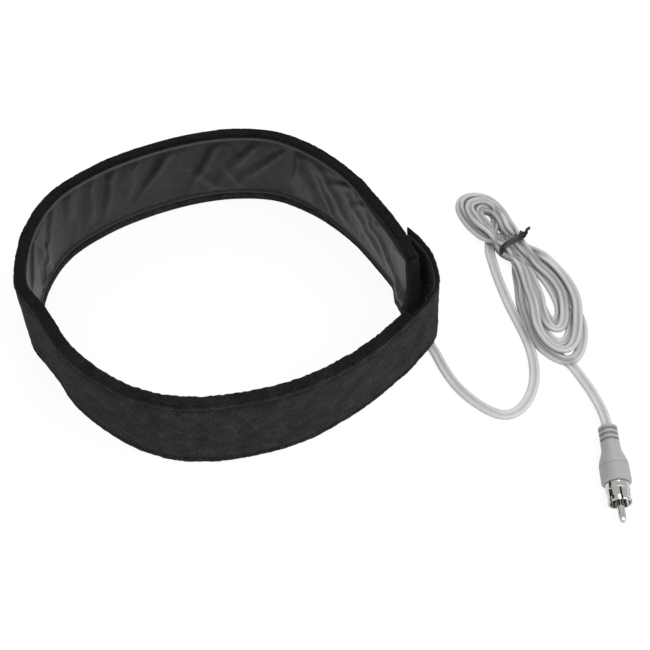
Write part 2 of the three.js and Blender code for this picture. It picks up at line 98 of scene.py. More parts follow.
# The cord: two round conductors side by side
CORD_WIDTH = 0.0047
CONDUCTOR = 0.00215
HALF_GAP = (CORD_WIDTH - CONDUCTOR) / 2
CORD_DEPTH = 0.00395
CORD_HEIGHT = 0.00245
CORD_INSIDE = (0.007, 0.0035, 0.0)
LEAD_ROUTE = (
    (0.0869, -0.0093, 0.0016), (0.0899, -0.0143, 0.00125),
    (0.0925, -0.0193, 0.00125), (0.096, -0.0284, 0.00125), (0.1018, -0.0384, 0.00125),
    (0.1094, -0.0464, 0.00125), (0.1166, -0.0512, 0.00125), (0.1216, -0.053, 0.00125),
    (0.1269, -0.0506, 0.00125), (0.132, -0.0446, 0.00125), (0.1354, -0.036, 0.00125),
    (0.1363, -0.026, 0.00125), (0.1351, -0.0159, 0.00125), (0.1325, -0.0068, 0.00125),
    (0.1296, 0.0013, 0.00125), (0.1268, 0.01, 0.0013), (0.1242, 0.0202, 0.0016),
    (0.1223, 0.03, 0.0022), (0.1216, 0.0372, 0.0032),
)
CLIMB_ROUTE = (
    (0.1222, 0.042, 0.0062), (0.1236, 0.047, 0.0084), (0.125, 0.0525, 0.008),
    (0.1258, 0.0585, 0.0062),
)
PLUG_ROUTE = (
    (0.1502, -0.0228, 0.0034), (0.153, -0.0264, 0.003), (0.1552, -0.0299, 0.0024),
    (0.1578, -0.0352, 0.002), (0.1608, -0.0424, 0.0022), (0.1628, -0.0502, 0.0036),
    (0.1636, -0.0566, 0.0057), (0.1637, -0.0616, 0.00645),
)

# The hank's outermost and innermost turn: the lower lobe from the tie down its left side and back up
# its right, the upper lobe from the tie up its right side and back down its left
LOWER_OUTER = (
    (0.1334, 0.0294), (0.1341, 0.0188), (0.1343, 0.0081), (0.1351, -0.0025), (0.1378, -0.0128),
    (0.145, -0.0222), (0.153, -0.0262), (0.1588, -0.0155), (0.1606, -0.0035), (0.1598, 0.0081),
    (0.1574, 0.0185), (0.152, 0.028), (0.1434, 0.035), (0.1363, 0.039),
)
LOWER_INNER = (
    (0.136, 0.03), (0.1372, 0.0235), (0.14, 0.017), (0.1422, 0.011), (0.1432, 0.005),
    (0.144, -0.002), (0.1474, -0.0058), (0.1505, -0.002), (0.1512, 0.004), (0.1506, 0.01),
    (0.1487, 0.0165), (0.1455, 0.023), (0.1412, 0.0295), (0.1352, 0.035),
)
UPPER_OUTER = (
    (0.1316, 0.0479), (0.1301, 0.0548), (0.1281, 0.0618), (0.1243, 0.069), (0.118, 0.0733),
    (0.1096, 0.0724), (0.107, 0.065), (0.1106, 0.057), (0.1154, 0.05), (0.1205, 0.0443),
    (0.1255, 0.04),
)
UPPER_INNER = (
    (0.1296, 0.047), (0.1286, 0.051), (0.1272, 0.0555), (0.125, 0.0597), (0.1215, 0.0628),
    (0.1175, 0.0632), (0.1162, 0.0602), (0.1176, 0.0563), (0.1205, 0.052), (0.1235, 0.0474),
    (0.1268, 0.0428),
)
# Share of the way from the outermost to the innermost turn, one row for each turn of the cord:
# down the left, round the foot, up the right, round the top
LANES = (
    (0.55, 0.25, 0.15, 0.5), (1.0, 0.8, 0.7, 0.9), (0.1, 0.0, 0.45, 0.0),
    (0.8, 1.0, 1.0, 0.7), (0.35, 0.5, 0.0, 0.25), (0.0, 0.0, 0.0, 0.75),
)
TURNS = len(LANES)
LANE_FLOOR = 0.0013
LANE_RISE = 0.0022
HANK_JITTER = 0.0002

# The tie round the hank
TIE_CENTRE = (0.1309, 0.0381)
TIE_TURN = 0.6
TIE_AXIS = np.array([math.cos(TIE_TURN), math.sin(TIE_TURN), 0])
TIE_ALONG = np.array([math.sin(TIE_TURN), -math.cos(TIE_TURN), 0])
TIE_HALF_WIDTH = 0.0057
TIE_HALF_RUN = 0.0022
TIE_LOW = 0.0024
TIE_HIGH = 0.0092
TIE_COLUMN = 0.002
TIE_ROWS = (0.0032, 0.0072)
TIE_HALF_SPAN = 0.0062
TIE_HALF_HEIGHT = 0.0042
TIE_OFF_FLOOR = 0.0009

# The plug: distances from its cord end, and radii
RELIEF_RADIUS = 0.0041
BARREL_RADIUS = 0.0063
RELIEF_END = 0.0098
BARREL_START = 0.0194
BARREL_END = 0.0274
SHELL_START = BARREL_END + 0.0003
SHELL_END = 0.0364
SHELL_RADIUS = 0.0051
SHELL_WALL = 0.0008
PETALS = 6
PETAL_GAP = 0.0009
PIN_RADIUS = 0.0016
PIN_END = SHELL_END + 0.0086
PLUG_YAW = 0.022

# Camera and lamps: over the near edge, looking down at the loop
IMAGE_SIDE = 650
FOCAL_PX = 1314
CAMERA_ELEVATION = math.radians(55)
CAMERA_DISTANCE = 0.6
LOOK_AT = (0.04171, -0.00398, 0.0)
SENSOR = 36.0
LAMPS = (
    ("key", (0.2, -0.5, 1.1), 0.7, 9.0),
    ("fill", (0.9, -0.5, 0.8), 0.9, 4.5),
    ("back", (0.2, 1.0, 0.9), 0.8, 5.0),
)


def smooth(x):
    """Soft step from 0 to 1."""
    t = np.clip(x, 0.0, 1.0)
    return t * t * (3 - 2 * t)


def dome(x, width):
    """Soft bump of height 1 about nought."""
    return np.exp(-(x / width) ** 2)


def unit(vectors):
    return vectors / np.linalg.norm(vectors, axis=-1, keepdims=True)


def circle(count):
    """Angles evenly round a circle."""
    return np.linspace(0, 2 * math.pi, count, endpoint=False)


def smoothed(values, rounds):
    """Rows of values drawn toward their neighbours, the two ends kept."""
    for _ in range(rounds):
        values = values.copy()
        values[1:-1] = 0.25 * values[:-2] + 0.5 * values[1:-1] + 0.25 * values[2:]
    return values


def value_noise(u, v, seed):
    """Smooth random field over two coordinates, from -1 to 1."""
    size = 256
    grid = np.random.default_rng(seed).uniform(-1, 1, (size, size))
    i, j = np.floor(u).astype(int), np.floor(v).astype(int)
    a, b = smooth(u - i), smooth(v - j)
    i0, i1, j0, j1 = i % size, (i + 1) % size, j % size, (j + 1) % size
    return ((grid[i0, j0] * (1 - a) + grid[i1, j0] * a) * (1 - b)
            + (grid[i0, j1] * (1 - a) + grid[i1, j1] * a) * b)


# The strip's route in plan

def spline(points, per=48):
    """Centripetal spline through points, as a dense line."""
    p = np.asarray(points, float)
    p = np.vstack([2 * p[0] - p[1], p, 2 * p[-1] - p[-2]])
    out = []
    for a, b, c, d in zip(p, p[1:], p[2:], p[3:]):
        d0, d1, d2 = (math.sqrt(np.linalg.norm(v)) for v in (b - a, c - b, d - c))
        t1 = ((b - a) / d0 - (c - a) / (d0 + d1) + (c - b) / d1) * d1
        t2 = ((c - b) / d1 - (d - b) / (d1 + d2) + (d - c) / d2) * d1
        t = np.linspace(0, 1, per, endpoint=False)[:, None]
        bend = (-3 * b + 3 * c - 2 * t1 - t2) * t ** 2 + (2 * b - 2 * c + t1 + t2) * t ** 3
        out.append(b + t1 * t + bend)
    out.append(p[-2][None])
    return np.vstack(out)


class Route:
    """A line with its length measured along it."""

    def __init__(self, line):
        self.line = line
        steps = np.linalg.norm(np.diff(line, axis=0), axis=1)
        self.at = np.concatenate([[0], np.cumsum(steps)])
        self.length = self.at[-1]

    def point(self, s):
        columns = range(self.line.shape[1])
        return np.stack([np.interp(s, self.at, self.line[:, k]) for k in columns], -1)

    def heading(self, s):
        reach = 0.0006
        ahead, behind = np.minimum(s + reach, self.length), np.maximum(s - reach, 0)
        return unit(self.point(ahead) - self.point(behind))


def plan(points):
    return [(x * LOOP_WIDTH / 2, y * LOOP_DEPTH / 2) for x, y in points]


def tab_seats(inner):
    """Places where the tab stands off the lined end, from shares of the overlap."""
    seats = []
    for share, standoff in TAB_STANDOFFS:
        s = np.array(share * TAB_OVERLAP)
        at, way = inner.point(s), inner.heading(s)
        seats.append((at[0] + way[1] * standoff, at[1] - way[0] * standoff))
    return seats


# The route starts where the lined part ends
INNER = Route(spline(plan(OUTLINE)))
STRIP = Route(spline(plan(OUTLINE) + plan(CORNER) + tab_seats(INNER)))
LINED = INNER.length - LINED_SHORT
LINED_END = np.array(0.0)


def flare(at):
    """How far the foot stands out past the top edge at a place of the route."""
    angle = np.arctan2(at[..., 1] / LOOP_DEPTH, at[..., 0] / LOOP_WIDTH)
    total = FLARE_MEAN + FLARE_RIGHT * dome(angle, FLARE_RIGHT_SPREAD)
    for k, (cosine, sine) in enumerate(FLARE_WAVES, 1):
        total = total + cosine * np.cos(k * angle) + sine * np.sin(k * angle)
    return total


def strip_point(s, depth, height):
    """Place of a point of the strip: along it, in from its outer face, and up."""
    s, depth, height = np.broadcast_arrays(s, depth, height)
    at, way = STRIP.point(s), STRIP.heading(s)
    inward = depth - flare(at) * (0.5 - height / STRIP_WIDTH)
    x, y = at[..., 0] - way[..., 1] * inward, at[..., 1] + way[..., 0] * inward
    return np.stack([x, y, height], -1) + SHIFT


def mouth(s, height):
    """How far the inner layers open out round the cord at the foot of the lined end."""
    along, rise = (MOUTH_RUN - s) / MOUTH_RUN_FADE, (MOUTH_RISE - height) / MOUTH_RISE_FADE
    return MOUTH_BULGE * smooth(along) * smooth(rise)


# Meshes

def loft(rings, start=0, hoop=False):
    """Skin over equal closed rings: a hoop joins its last ring to its first, else both ends are capped."""
    count, size = rings.shape[:2]
    faces = []
    for i in range(count if hoop else count - 1):
        a, b = start + i * size, start + (i + 1) % count * size
        for j in range(size):
            k = (j + 1) % size
            faces.append((a + j, a + k, b + k, b + j))
    if not hoop:
        last = start + (count - 1) * size
        faces.append(tuple(start + j for j in reversed(range(size))))
        faces.append(tuple(last + j for j in range(size)))
    return rings.reshape(-1, 3), faces


def merge(solids, hoops=()):
    """Several skins as one set of points and faces, the hoops first."""
    points, faces, start = [], [], 0
    for rings, hoop in [*((part, True) for part in hoops), *((part, False) for part in solids)]:
        some_points, some_faces = loft(rings, start, hoop)
        start += len(some_points)
        points.append(some_points)
        faces += some_faces
    return np.vstack(points), faces


def fix_normals(mesh):
    work = bmesh.new()
    work.from_mesh(mesh)
    bmesh.ops.recalc_face_normals(work, faces=work.faces)
    work.to_mesh(mesh)
    work.free()


def new_piece(name, skin, material, slot, *nodes):
    """Smooth piece of a skin that rides on the whole and takes the place of nodes of the frame."""
    points, faces = skin
    mesh = bpy.data.meshes.new(name)
    mesh.from_pydata([tuple(p) for p in points], [], [tuple(int(i) for i in f) for f in faces])
    mesh.validate()
    mesh.update()
    mesh.polygons.foreach_set("use_smooth", [True] * len(mesh.polygons))
    obj = bpy.data.objects.new(name, mesh)
    bpy.context.scene.collection.objects.link(obj)
    mesh.materials.append(material)
    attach(obj, WHOLE)
    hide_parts(*nodes)
    return obj


def mark(obj, name, values):
    """Keeps a number for each point of a mesh, which its material reads."""
    kept = obj.data.attributes.new(name, "FLOAT", "POINT")
    kept.data.foreach_set("value", np.asarray(values, np.float32).ravel())


# Materials

def set_inputs(node, values):
    for name, value in values.items():
        node.inputs[name].default_value = value


class Surface:
    """A material, with short ways to add the nodes that make its look."""

    def __init__(self, name):
        self.material = bpy.data.materials.new(name)
        self.material.use_nodes = True
        self.nodes = self.material.node_tree.nodes
        self.links = self.material.node_tree.links
        self.shader = self.nodes["Principled BSDF"]

    def join(self, source, name):
        self.links.new(source, self.shader.inputs[name])

    def coordinates(self):
        """Place on the object, from one node for the whole material."""
        if "place" not in self.nodes:
            self.nodes.new("ShaderNodeTexCoord").name = "place"
        return self.nodes["place"].outputs["Object"]

    def noise(self, scale, detail=2.0):
        node = self.nodes.new("ShaderNodeTexNoise")
        set_inputs(node, {"Scale": scale, "Detail": detail})
        self.links.new(self.coordinates(), node.inputs["Vector"])
        return node.outputs["Fac"]

    def maths(self, operation, first, second, clamp=False):
        """Result of two inputs, the second a socket or a number."""
        node = self.nodes.new("ShaderNodeMath")
        node.operation = operation
        node.use_clamp = clamp
        self.links.new(first, node.inputs[0])
        if isinstance(second, float):
            node.inputs[1].default_value = second
        else:
            self.links.new(second, node.inputs[1])
        return node.outputs[0]

    def spread(self, source, low, high, to_low, to_high):
        """A value moved from one range to another."""
        node = self.nodes.new("ShaderNodeMapRange")
        set_inputs(node, {"From Min": low, "From Max": high, "To Min": to_low, "To Max": to_high})
        self.links.new(source, node.inputs["Value"])
        return node.outputs["Result"]

    def ramp(self, source, stops):
        node = self.nodes.new("ShaderNodeValToRGB")
        elements = node.color_ramp.elements
        while len(elements) < len(stops):
            elements.new(0.5)
        for element, (place, colour) in zip(elements, stops):
            element.position = place
            element.color = (*colour, 1.0)
        self.links.new(source, node.inputs["Fac"])
        return node.outputs["Color"]

    def toward(self, source, share, colour):
        """A colour drawn by a share toward a fixed one."""
        node = self.nodes.new("ShaderNodeMix")
        node.data_type = "RGBA"
        node.inputs["B"].default_value = (*colour, 1)
        self.links.new(share, node.inputs["Factor"])
        self.links.new(source, node.inputs["A"])
        return node.outputs["Result"]

    def bump(self, source, strength, distance, under=None):
        node = self.nodes.new("ShaderNodeBump")
        set_inputs(node, {"Strength": strength, "Distance": distance})
        self.links.new(source, node.inputs["Height"])
        if under:
            self.links.new(under, node.inputs["Normal"])
        return node.outputs["Normal"]

    def marked(self, name, colour, strength):
        """Blends in another colour where the mesh carries a mark."""
        read = self.nodes.new("ShaderNodeAttribute")
        read.attribute_name = name
        share = self.maths("MULTIPLY", read.outputs["Fac"], strength, clamp=True)
        base = self.shader.inputs["Base Color"].links[0].from_socket
        self.join(self.toward(base, share, colour), "Base Color")
        return self


PILE_TONES = ((0.36, (0.003, 0.003, 0.0032)), (0.5, (0.01, 0.01, 0.0105)), (0.64, (0.028, 0.028, 0.029)))
NYLON_TONES = ((0.3, (0.0075, 0.0075, 0.0085)), (0.7, (0.0115, 0.0115, 0.0127)))
# Painted shade on the pile cloth's top rim: the colour is drawn toward black between the two heights, by the
# first share on the far side and the second on the near side, fading between the two places across the loop
RIM_START, RIM_FULL = 0.0449, 0.0456
RIM_PAINTED_SHADE, RIM_PAINTED_SHADE_NEAR = 0.8, 0.45
NEAR_END, NEAR_START = -0.065, -0.035


def pile_cloth():
    """Brushed loops, with painted shade that darkens the top rim, less so on the near side."""
    cloth = Surface("loop_pile_cloth")
    loops, patches = cloth.noise(1500, 3.0), cloth.noise(160, 3.0)
    mixed = cloth.maths("ADD", cloth.maths("MULTIPLY", loops, 0.65), cloth.maths("MULTIPLY", patches, 0.35))
    parts = cloth.nodes.new("ShaderNodeSeparateXYZ")
    cloth.links.new(cloth.coordinates(), parts.inputs["Vector"])
    # Painted shade: the colour darkens toward black on the top rim, less so on the near side
    rim = cloth.spread(parts.outputs["Z"], RIM_START, RIM_FULL, 0.0, 1.0)
    depth = cloth.spread(parts.outputs["Y"], NEAR_END, NEAR_START, RIM_PAINTED_SHADE_NEAR, RIM_PAINTED_SHADE)
    painted_rim_shade = cloth.maths("MULTIPLY", rim, depth)
    cloth.join(cloth.toward(cloth.ramp(mixed, PILE_TONES), painted_rim_shade, (0, 0, 0)), "Base Color")
    set_inputs(cloth.shader, {"Roughness": 0.95, "Specular IOR Level": 0.06})
    set_inputs(cloth.shader, {"Sheen Weight": 0.03, "Sheen Roughness": 0.6})
    cloth.join(cloth.bump(loops, 0.9, 0.0008), "Normal")
    return cloth


def nylon():
    cloth = Surface("nylon_lining")
    weave, fine = cloth.noise(4200, 1.0), cloth.noise(650)
    cloth.join(cloth.ramp(cloth.noise(90), NYLON_TONES), "Base Color")
    set_inputs(cloth.shader, {"Roughness": 0.45, "Specular IOR Level": 0.22})
    set_inputs(cloth.shader, {"Sheen Weight": 0.05, "Sheen Roughness": 0.4})
    cloth.join(cloth.bump(fine, 0.25, 0.0004, cloth.bump(weave, 0.25, 0.0001)), "Normal")
    return cloth


def moulded(name, colour, roughness, grain=900, depth=0.00005, tone=0.06):
    """Plastic of one colour with a fine grain."""
    plastic = Surface(name)
    low = tuple(c * (1 - tone) for c in colour)
    high = tuple(min(1.0, c * (1 + tone)) for c in colour)
    plastic.join(plastic.ramp(plastic.noise(60), ((0.35, low), (0.65, high))), "Base Color")
    set_inputs(plastic.shader, {"Roughness": roughness})
    plastic.join(plastic.bump(plastic.noise(grain, 3.0), 0.35, depth), "Normal")
    return plastic


def metal(name, colour, roughness):
    """Metal with slightly uneven tone and shine."""
    plate = Surface(name)
    broad = plate.noise(700, 3.0)
    low = tuple(c * 0.86 for c in colour)
    plate.join(plate.ramp(broad, ((0.35, low), (0.65, colour))), "Base Color")
    set_inputs(plate.shader, {"Metallic": 1.0})
    plate.join(plate.spread(broad, 0.0, 1.0, roughness * 0.8, roughness * 1.4), "Roughness")
    plate.join(plate.bump(broad, 0.15, 0.00002), "Normal")
    return plate


PILE = pile_cloth().material
# Painted highlight: the nylon's colour is drawn toward a lighter grey along its rolled edges at the hems,
# where the mesh is marked
NYLON = nylon().marked("fold", (0.062, 0.062, 0.066), 0.9).material
WADDING = moulded("wadding", (0.05, 0.05, 0.052), 0.95, 1200, 0.0006).material
HOOKS = moulded("hook_tape_plastic", (0.016, 0.016, 0.017), 0.55, 1500, 0.0002).material
JACKET = moulded("cord_jacket", (0.42, 0.42, 0.414), 0.38, 1600, 0.00003, 0.05)
# Painted shade: the jacket's colour is drawn toward near black in the groove between its two conductors and
# where strands of the hank lie close
CORD = JACKET.marked("painted_cord_shade", (0.07, 0.07, 0.07), 0.6).material
TIE = moulded("tie_plastic", (0.005, 0.005, 0.005), 0.5, 1400, 0.00006).material
GRIP = moulded("plug_moulding", (0.26, 0.26, 0.257), 0.42, 1600, 0.00004, 0.04).material
NICKEL = metal("nickel_plate", (0.62, 0.61, 0.59), 0.14).material
DIELECTRIC = moulded("insulator_plastic", (0.03, 0.03, 0.03), 0.4).material
WIRE = metal("resistance_wire", (0.52, 0.5, 0.46), 0.3).material
TINNED = metal("tinned_copper", (0.66, 0.65, 0.62), 0.25).material
SLEEVE = moulded("shrunk_sleeve", (0.014, 0.014, 0.014), 0.4).material


# Camera, lamps and floor

def place_camera():
    data = bpy.data.cameras.new("camera")
    data.sensor_width = SENSOR
    data.lens = FOCAL_PX / IMAGE_SIDE * SENSOR
    camera = bpy.data.objects.new("camera", data)
    bpy.context.scene.collection.objects.link(camera)
    back = CAMERA_DISTANCE * math.cos(CAMERA_ELEVATION)
    rise = CAMERA_DISTANCE * math.sin(CAMERA_ELEVATION)
    camera.location = (LOOK_AT[0], LOOK_AT[1] - back, LOOK_AT[2] + rise)
    camera.rotation_euler = (math.pi / 2 - CAMERA_ELEVATION, 0, 0)
    bpy.context.scene.camera = camera


def place_lamps():
    for name, place, side, power in LAMPS:
        lamp = bpy.data.lights.new(name, "AREA")
        lamp.size = side
        lamp.energy = power
        obj = bpy.data.objects.new(name, lamp)
        bpy.context.scene.collection.objects.link(obj)
        obj.location = place
        obj.rotation_euler = (Vector(LOOK_AT) - Vector(place)).to_track_quat("-Z", "Y").to_euler()


def floor_paper():
    """Pale paper that looks nearly white to the eye and in shine, and still takes shadows."""
    paper = Surface("floor_paper")
    set_inputs(paper.shader, {"Base Color": (0.9, 0.9, 0.9, 1), "Roughness": 0.9})
    glow = paper.nodes.new("ShaderNodeEmission")
    set_inputs(glow, {"Color": (1, 1, 1, 1)})
    rays = paper.nodes.new("ShaderNodeLightPath")
    seen = paper.maths("MAXIMUM", rays.outputs["Is Camera Ray"], rays.outputs["Is Glossy Ray"])
    mix = paper.nodes.new("ShaderNodeMixShader")
    paper.links.new(paper.maths("MULTIPLY", seen, 0.9), mix.inputs["Fac"])
    paper.links.new(paper.shader.outputs["BSDF"], mix.inputs[1])
    paper.links.new(glow.outputs["Emission"], mix.inputs[2])
    paper.links.new(mix.outputs["Shader"], paper.nodes["Material Output"].inputs["Surface"])
    return paper.material


def background():
    world = bpy.data.worlds.new("room")
    world.use_nodes = True
    set_inputs(world.node_tree.nodes["Background"], {"Color": (0.92, 0.92, 0.92, 1), "Strength": 0.75})
    bpy.context.scene.world = world
    bpy.ops.mesh.primitive_plane_add(size=8.0, location=(0, 0, 0))
    floor = bpy.context.object
    floor.name = "floor"
    floor.data.materials.append(floor_paper())
    bpy.context.scene.view_settings.view_transform = "Standard"


# The cord's route: lead, climb to the tie, hank and plug end

LAID_STEP = 0.003
SKIN_STEP = 0.0012
SPLINE_STEPS = 24


def between(outer, inner, share):
    return [tuple(a + (b - a) * share for a, b in zip(o, i)) for o, i in zip(outer, inner)]


def jittered(rng, plan_points, height):
    """Plan points moved a little at random and set at a height."""
    return [(x + rng.normal(0, HANK_JITTER), y + rng.normal(0, HANK_JITTER), height) for x, y in plan_points]


def tie_place(column, row):
    """Place of a strand where the tie holds it: columns across, two rows."""
    x, y = TIE_CENTRE + TIE_AXIS[:2] * (column * TIE_COLUMN)
    return (x, y, TIE_ROWS[row])


def hank_route():
    """Points through all turns, the first on top, from the upper lobe's right side to the plug's side."""
    rng = np.random.default_rng(7)
    points = []
    for turn, (left, low, right, top) in enumerate(LANES):
        height = LANE_FLOOR + LANE_RISE * (TURNS - 1 - turn)
        upper = between(UPPER_OUTER, UPPER_INNER, top)
        points += jittered(rng, upper[2 if turn == 0 else 0:-1], height)
        points.append(tie_place(turn - (TURNS - 1) / 2, 1 - turn % 2))
        down = between(LOWER_OUTER, LOWER_INNER, left)
        if turn == TURNS - 1:
            points += jittered(rng, down[:5], height)
            break
        foot = between(LOWER_OUTER, LOWER_INNER, low)
        rising = between(LOWER_OUTER, LOWER_INNER, right)
        points += jittered(rng, down[:4] + foot[4:9] + rising[9:-1], height)
        points.append(tie_place((TURNS - 1) / 2 - turn, turn % 2))
    return points


def cord_points(hank):
    """Points of the centre line from inside the lined end to the plug."""
    inside = [strip_point(np.array(s), CORD_DEPTH, CORD_HEIGHT) for s in CORD_INSIDE]
    straight_on = inside[-1] - np.array([*STRIP.heading(LINED_END) * CORD_WIDTH, 0.0])
    outside = (*LEAD_ROUTE, *CLIMB_ROUTE, *hank, *PLUG_ROUTE)
    return [*inside, straight_on, *(np.array(p) + SHIFT for p in outside)]


def cord_lie(way, roll):
    """Direction across the flat cord, level where its roll is nought."""
    side = unit(np.cross(way, UP))
    top = np.cross(side, way)
    return side * np.cos(roll)[:, None] + top * np.sin(roll)[:, None]


def laid_cord():
    """Centre line and lie of the cord before it settles, and which part of it is wound."""
    hank = hank_route()
    route = Route(spline(np.array(cord_points(hank)), SPLINE_STEPS))
    first = len(CORD_INSIDE) + 1 + len(LEAD_ROUTE)
    lift_off = route.at[SPLINE_STEPS * (first - 2)]
    wound = route.at[SPLINE_STEPS * (first + len(CLIMB_ROUTE) - 1)]
    end = route.at[SPLINE_STEPS * (first + len(CLIMB_ROUTE) + len(hank))]
    s = np.linspace(0, route.length, int(route.length / LAID_STEP))
    centre = smoothed(route.point(s), 2)
    near_tie = np.linalg.norm(centre[:, :2] - SHIFT[:2] - np.array(TIE_CENTRE), axis=1)
    hanked = smooth((s - lift_off) / (wound - lift_off)) * smooth((end + 0.004 - s) / 0.02)
    on_edge = math.radians(80) * (1 - smooth((near_tie - 0.004) / 0.022))
    roll = hanked * (on_edge + 0.35 * np.sin(s * 61))
    loose = (s > lift_off - 0.02) & (s < end + 0.03)
    return centre, cord_lie(route.heading(s), roll), loose


# The settling of the hank: a row of points on each of the two conductors

SETTLE_ROUNDS = 150
KEPT_POINTS = 3
SINK = 0.00006
HOMING = 0.02
PUSH = 0.35
SPACING = CONDUCTOR + 0.00005
FAR_LINK = 0.25
LINK_PASSES = ((1, 0), (1, 1), (2, 0), (2, 1), (4, 0))
FLOOR_GAP = 0.00008
TIE_MIDDLE = np.array(TIE_CENTRE) + SHIFT[:2]


def conductor_links(home, count):
    """Pairs of points that keep their distance: along each conductor, then between the two."""
    links = []
    for reach, first in LINK_PASSES:
        starts = np.arange(first, count - reach)
        for turn in (0, 1):
            picked = starts[(starts // reach) % 2 == turn]
            for side in (0, count):
                a, b = picked + side, picked + side + reach
                length = np.linalg.norm(home[a] - home[b], axis=1)
                links.append((a, b, length, 1.0 if reach == 1 else FAR_LINK))
    pair = np.arange(count)
    links.append((pair, pair + count, 2 * HALF_GAP, 1.0))
    return links


def push_apart(p, apart, free):
    """Moves points of strands that lie too close away from each other."""
    gap = p[:, None] - p[None]
    size = np.sqrt((gap ** 2).sum(-1)) + 1e-9
    short = np.where(apart, np.clip(SPACING - size, 0, None), 0)
    return p + PUSH * ((gap / size[..., None]) * short[..., None]).sum(1) * free


def pull_together(p, free, a, b, length, weight):
    """Draws pairs of points back to their distance."""
    way = p[b] - p[a]
    now = np.linalg.norm(way, axis=1)
    fix = (weight * 0.5 * (now - length) / now)[:, None] * way
    p[a] += fix * free[a]
    p[b] -= fix * free[b]


def hold_in_tie(p, tied, free):
    """Keeps the strands that pass through the tie inside it."""
    off = p[:, :2] - TIE_MIDDLE
    held = tied & (np.abs(off @ TIE_ALONG[:2]) < TIE_HALF_RUN)
    side = off @ TIE_AXIS[:2]
    over = np.clip(side, -TIE_HALF_WIDTH, TIE_HALF_WIDTH) - side
    p[:, :2] += (over * held)[:, None] * TIE_AXIS[:2] * free
    p[:, 2] = np.where(held, np.clip(p[:, 2], TIE_LOW, TIE_HIGH), p[:, 2])


def settle(centre, across):
    """Lets the wound cord sink, its strands pushing each other away and staying in the tie."""
    count = len(centre)
    p = np.concatenate([centre + across * HALF_GAP, centre - across * HALF_GAP])
    home = p.copy()
    place = np.concatenate([np.arange(count)] * 2)
    free = ((place > KEPT_POINTS) & (place < count - 1 - KEPT_POINTS))[:, None]
    apart = np.abs(place[:, None] - place[None]) > 3
    links = conductor_links(home, count)
    tied = (home[:, :2] - TIE_MIDDLE) @ TIE_AXIS[:2] > -1.25 * TIE_HALF_WIDTH
    for _ in range(SETTLE_ROUNDS):
        move = np.zeros_like(p)
        move[:, 2] = -SINK
        move[:, :2] += (home[:, :2] - p[:, :2]) * HOMING
        p = push_apart(p + move * free, apart, free)
        for link in links:
            pull_together(p, free, *link)
        hold_in_tie(p, tied, free)
        p[:, 2] = np.where(free[:, 0], np.maximum(p[:, 2], CONDUCTOR / 2 + FLOOR_GAP), home[:, 2])
    lie = smoothed(p[:count] - p[count:], 2)
    return smoothed((p[:count] + p[count:]) / 2, 2), unit(lie)


# The cord's skin

# Painted shade on the cord's jacket: the distance over which it fades off a nearby conductor, the rings on
# either side that count as the strand's own, its share from the strand's own other conductor and from other
# strands, and the rings worked at a time
PAINTED_SHADE_REACH = 0.0007
PAINTED_SHADE_SPAN = 6
PAINTED_SHADE_OWN = 0.22
PAINTED_SHADE_OTHER = 0.5
PAINTED_SHADE_BATCH = 40


def cord_section(count=11):
    """Outline of the flat cord: two round conductors joined by a thin web."""
    half = CONDUCTOR / 2
    turn = np.linspace(-0.9 * math.pi, 0.9 * math.pi, count)
    right = np.stack([CORD_WIDTH / 2 - half + half * np.cos(turn), half * np.sin(turn)], 1)
    return np.vstack([right, -right])


def painted_strand_shade(rings, centre, across):
    """Painted shade for each point of the skin, from how close it lies to other conductors: 0 in the open,
    up to 1.
    """
    cores = np.concatenate([centre + across * HALF_GAP, centre - across * HALF_GAP])
    count, size = rings.shape[:2]
    place = np.concatenate([np.arange(count)] * 2)
    left = np.arange(size) >= size // 2
    side = (np.arange(2 * count) >= count)[None, None] == left[None, :, None]
    out = np.zeros((count, size))
    for first in range(0, count, PAINTED_SHADE_BATCH):
        some = rings[first:first + PAINTED_SHADE_BATCH]
        away = np.linalg.norm(some[:, :, None] - cores[None, None], axis=-1)
        rows = np.arange(first, first + len(some))[:, None]
        own = (np.abs(place[None] - rows) < PAINTED_SHADE_SPAN)[:, None]
        close = np.exp(-np.clip(away - CONDUCTOR / 2, 0, None) / PAINTED_SHADE_REACH)
        close = np.where(own & side, 0, close * np.where(own, PAINTED_SHADE_OWN, PAINTED_SHADE_OTHER))
        out[first:first + PAINTED_SHADE_BATCH] = np.clip(close.sum(-1), 0, 1)
    return out


def off_floor(rings):
    """How far each ring has to rise to clear the floor with its neighbours."""
    sunk = np.clip(FLOOR_GAP - rings[..., 2].min(1), 0, None)
    return np.array([sunk[max(0, k - 4):k + 5].max() for k in range(len(rings))])


def free_cord():
    """The whole cord as one piece, with its centre line and that line's length."""
    centre, across, loose = laid_cord()
    centre[loose], across[loose] = settle(centre[loose], across[loose])
    route = Route(spline(centre, 4))
    lie = spline(smoothed(across, 1), 4)
    s = np.linspace(0, route.length, int(route.length / SKIN_STEP))
    centre = smoothed(route.point(s), 5)
    way = unit(np.gradient(centre, axis=0))
    across = np.stack([np.interp(s, route.at, lie[:, k]) for k in range(3)], -1)
    across = unit(across - way * (across * way).sum(1, keepdims=True))
    over = np.cross(across, way)
    outline = cord_section()
    rings = centre[:, None] + across[:, None] * outline[None, :, :1] + over[:, None] * outline[None, :, 1:]
    lift = off_floor(rings)
    centre[:, 2] += lift
    rings[..., 2] += lift[:, None]
    piece = new_piece("cord", loft(rings), CORD, "cord", "cord_lead", "cord_hank", "cord_plug_end")
    # Painted shade: the jacket darkens in the groove between its conductors and where strands of the hank
    # lie close
    mark(piece, "painted_cord_shade", painted_strand_shade(rings, centre, across))
    return piece, centre, float(np.linalg.norm(np.diff(centre, axis=0), axis=1).sum())


# The cover: face, folds and hems of the lined part, its closed end, and the bare tab

